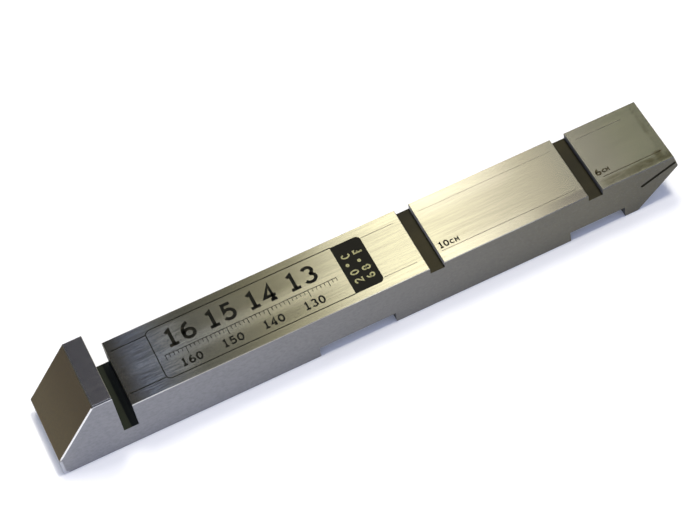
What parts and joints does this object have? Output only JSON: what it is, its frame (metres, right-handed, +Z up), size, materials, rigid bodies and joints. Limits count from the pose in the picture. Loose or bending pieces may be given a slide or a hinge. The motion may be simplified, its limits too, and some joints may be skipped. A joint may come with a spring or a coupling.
{
  "type": "gauge block",
  "caption": "Solid square-bar setting gauge with a sloped toe, raised stop, flat gauge top with cross slots, relieved underside and a bevelled, slit nose.",
  "frame": {"origin": "middle of the block's outline on the plane of its underside", "axes": "+X along the bar from the stop towards the slit nose, +Y across the bar away from the viewer, +Z up"},
  "size_m": [0.155, 0.019, 0.0191],
  "materials": {
    "ground_steel": "ground"
  },
  "bodies": {
    "root": {"gauge_block": "ground_steel"}
  },
  "joints": []
}
